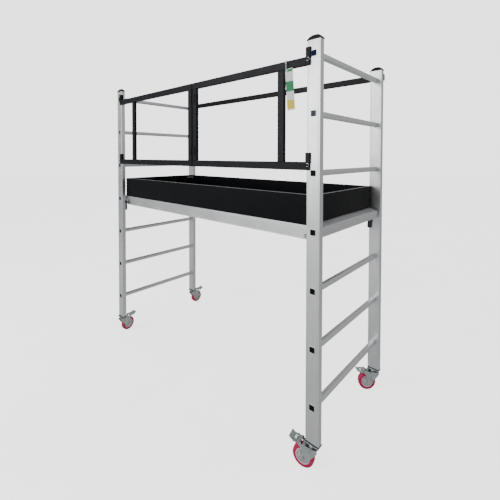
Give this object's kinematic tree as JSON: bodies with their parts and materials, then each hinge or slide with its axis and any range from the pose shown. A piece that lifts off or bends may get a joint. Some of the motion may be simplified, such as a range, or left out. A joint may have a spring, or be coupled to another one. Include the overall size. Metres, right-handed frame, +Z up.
{
  "type": "mobile scaffold section",
  "caption": "Mobile low scaffold: ladder end frames on braked swivel casters, hooked deck with toe boards, folding guard frame and back rail.",
  "frame": {"origin": "on the floor, midway between the two ladder frames and midway between their stiles", "axes": "+X along the platform to the ladder frame with the near caster, +Y from the guard frame to the back rail, +Z up"},
  "size_m": [1.966, 0.9191, 2.081],
  "materials": {
    "frame_aluminium": "mill finish",
    "black_plastic": "moulded",
    "plug_plastic": "moulded",
    "black_paint": "satin powder coat",
    "black_board": "film-faced plywood",
    "zinc": "bright zinc plate",
    "red_tread": "polyurethane",
    "hub_plastic": "moulded",
    "catch_steel": "satin",
    "tag_card": "laminated card",
    "tie_plastic": "moulded"
  },
  "bodies": {
    "scaffold": {"back_rail": "black_paint", "caster_plate_back_left": "zinc", "caster_plate_back_right": "zinc", "caster_plate_front_left": "zinc", "caster_plate_front_right": "zinc", "foot_plugs": "black_plastic", "frame_bolts": "zinc", "guard_brackets_left": "black_paint", "guard_brackets_right": "black_paint", "guard_frame_left": "black_paint", "guard_hinges_fixed": "black_paint", "rung_end_plugs": "plug_plastic", "rungs_left": "frame_aluminium", "rungs_right": "frame_aluminium", "stile_back_left": "frame_aluminium", "stile_back_right": "frame_aluminium", "stile_caps": "black_plastic", "stile_front_left": "frame_aluminium", "stile_front_right": "frame_aluminium"},
    "platform": {"platform_cross_members": "frame_aluminium", "platform_deck": "black_board", "platform_end_beam_left": "frame_aluminium", "platform_end_beam_right": "frame_aluminium", "platform_side_rail_back": "frame_aluminium", "platform_side_rail_front": "frame_aluminium", "toe_board_back": "black_board", "toe_board_brackets": "zinc", "toe_board_front": "black_board", "toe_board_left": "black_board", "toe_board_right": "black_board"},
    "guard_right": {"guard_frame_right": "black_paint", "guard_hinges_swing": "black_paint", "tag_tie": "tie_plastic"},
    "tag": {"hang_tag": "tag_card"},
    "caster_front_left": {"caster_fork_front_left": "zinc", "axle_bolt_front_left": "zinc"},
    "wheel_front_left": {"wheel_tyre_front_left": "red_tread", "wheel_hub_front_left": "hub_plastic"},
    "pedal_front_left": {"brake_pedal_front_left": "zinc"},
    "catch_front_left": {"platform_catch_front_left": "catch_steel"},
    "caster_front_right": {"caster_fork_front_right": "zinc", "axle_bolt_front_right": "zinc"},
    "wheel_front_right": {"wheel_tyre_front_right": "red_tread", "wheel_hub_front_right": "hub_plastic"},
    "pedal_front_right": {"brake_pedal_front_right": "zinc"},
    "catch_front_right": {"platform_catch_front_right": "catch_steel"},
    "caster_back_left": {"caster_fork_back_left": "zinc", "axle_bolt_back_left": "zinc"},
    "wheel_back_left": {"wheel_tyre_back_left": "red_tread", "wheel_hub_back_left": "hub_plastic"},
    "pedal_back_left": {"brake_pedal_back_left": "zinc"},
    "catch_back_left": {"platform_catch_back_left": "catch_steel"},
    "caster_back_right": {"caster_fork_back_right": "zinc", "axle_bolt_back_right": "zinc"},
    "wheel_back_right": {"wheel_tyre_back_right": "red_tread", "wheel_hub_back_right": "hub_plastic"},
    "pedal_back_right": {"brake_pedal_back_right": "zinc"},
    "catch_back_right": {"platform_catch_back_right": "catch_steel"}
  },
  "joints": [
    {"name": "swivel_front_left", "type": "hinge", "parent": "scaffold", "child": "caster_front_left", "pos_m": [-0.9425, -0.377, 0.118], "axis": [0, 0, 1], "continuous": true},
    {"name": "wheel_spin_front_left", "type": "hinge", "parent": "caster_front_left", "child": "wheel_front_left", "pos_m": [-0.94752, -0.32926, 0.055], "axis": [0.9945, 0.1045, 0], "continuous": true},
    {"name": "brake_front_left", "type": "hinge", "parent": "caster_front_left", "child": "pedal_front_left", "pos_m": [-0.94919, -0.31335, 0.12], "axis": [-0.9945, -0.1045, 0], "range_deg": [0, 12]},
    {"name": "swivel_front_right", "type": "hinge", "parent": "scaffold", "child": "caster_front_right", "pos_m": [0.9425, -0.377, 0.118], "axis": [0, 0, 1], "continuous": true},
    {"name": "wheel_spin_front_right", "type": "hinge", "parent": "caster_front_right", "child": "wheel_front_right", "pos_m": [0.89523, -0.38533, 0.055], "axis": [-0.1736, 0.9848, 0], "continuous": true},
    {"name": "brake_front_right", "type": "hinge", "parent": "caster_front_right", "child": "pedal_front_right", "pos_m": [0.87947, -0.38811, 0.12], "axis": [0.1736, -0.9848, 0], "range_deg": [0, 12]},
    {"name": "swivel_back_left", "type": "hinge", "parent": "scaffold", "child": "caster_back_left", "pos_m": [-0.9425, 0.377, 0.118], "axis": [0, 0, 1], "continuous": true},
    {"name": "wheel_spin_back_left", "type": "hinge", "parent": "caster_back_left", "child": "wheel_back_left", "pos_m": [-0.94083, 0.42497, 0.055], "axis": [0.9994, -0.0349, 0], "continuous": true},
    {"name": "brake_back_left", "type": "hinge", "parent": "caster_back_left", "child": "pedal_back_left", "pos_m": [-0.94027, 0.44096, 0.12], "axis": [-0.9994, 0.0349, 0], "range_deg": [0, 12]},
    {"name": "swivel_back_right", "type": "hinge", "parent": "scaffold", "child": "caster_back_right", "pos_m": [0.9425, 0.377, 0.118], "axis": [0, 0, 1], "continuous": true},
    {"name": "wheel_spin_back_right", "type": "hinge", "parent": "caster_back_right", "child": "wheel_back_right", "pos_m": [0.90683, 0.34488, 0.055], "axis": [-0.6691, 0.7431, 0], "continuous": true},
    {"name": "brake_back_right", "type": "hinge", "parent": "caster_back_right", "child": "pedal_back_right", "pos_m": [0.89494, 0.33418, 0.12], "axis": [0.6691, -0.7431, 0], "range_deg": [0, 12]},
    {"name": "platform_lift", "type": "slide", "parent": "scaffold", "child": "platform", "axis": [0, 0, 1], "range_m": [0, 0.1]},
    {"name": "catch_swing_front_left", "type": "hinge", "parent": "platform", "child": "catch_front_left", "pos_m": [-0.8785, -0.3526, 1.1168], "axis": [0, -1, 0], "range_deg": [0, 120]},
    {"name": "catch_swing_front_right", "type": "hinge", "parent": "platform", "child": "catch_front_right", "pos_m": [0.8785, -0.3526, 1.1168], "axis": [0, 1, 0], "range_deg": [0, 120]},
    {"name": "catch_swing_back_left", "type": "hinge", "parent": "platform", "child": "catch_back_left", "pos_m": [-0.8785, 0.3526, 1.1168], "axis": [0, -1, 0], "range_deg": [0, 120]},
    {"name": "catch_swing_back_right", "type": "hinge", "parent": "platform", "child": "catch_back_right", "pos_m": [0.8785, 0.3526, 1.1168], "axis": [0, 1, 0], "range_deg": [0, 120]},
    {"name": "guard_fold", "type": "hinge", "parent": "scaffold", "child": "guard_right", "pos_m": [0.046, -0.4045, 1.709], "axis": [0, 0, -1], "range_deg": [0, 170]},
    {"name": "tag_swing", "type": "hinge", "parent": "guard_right", "child": "tag", "pos_m": [0.795, -0.4035, 1.9347], "axis": [1, 0, 0], "range_deg": [-45, 45]}
  ],
  "couplings": [
    {"joint": "catch_swing_front_left", "follows": "platform_lift", "rad_per_m": 20.9},
    {"joint": "catch_swing_front_right", "follows": "platform_lift", "rad_per_m": 20.9},
    {"joint": "catch_swing_back_left", "follows": "platform_lift", "rad_per_m": 20.9},
    {"joint": "catch_swing_back_right", "follows": "platform_lift", "rad_per_m": 20.9}
  ]
}
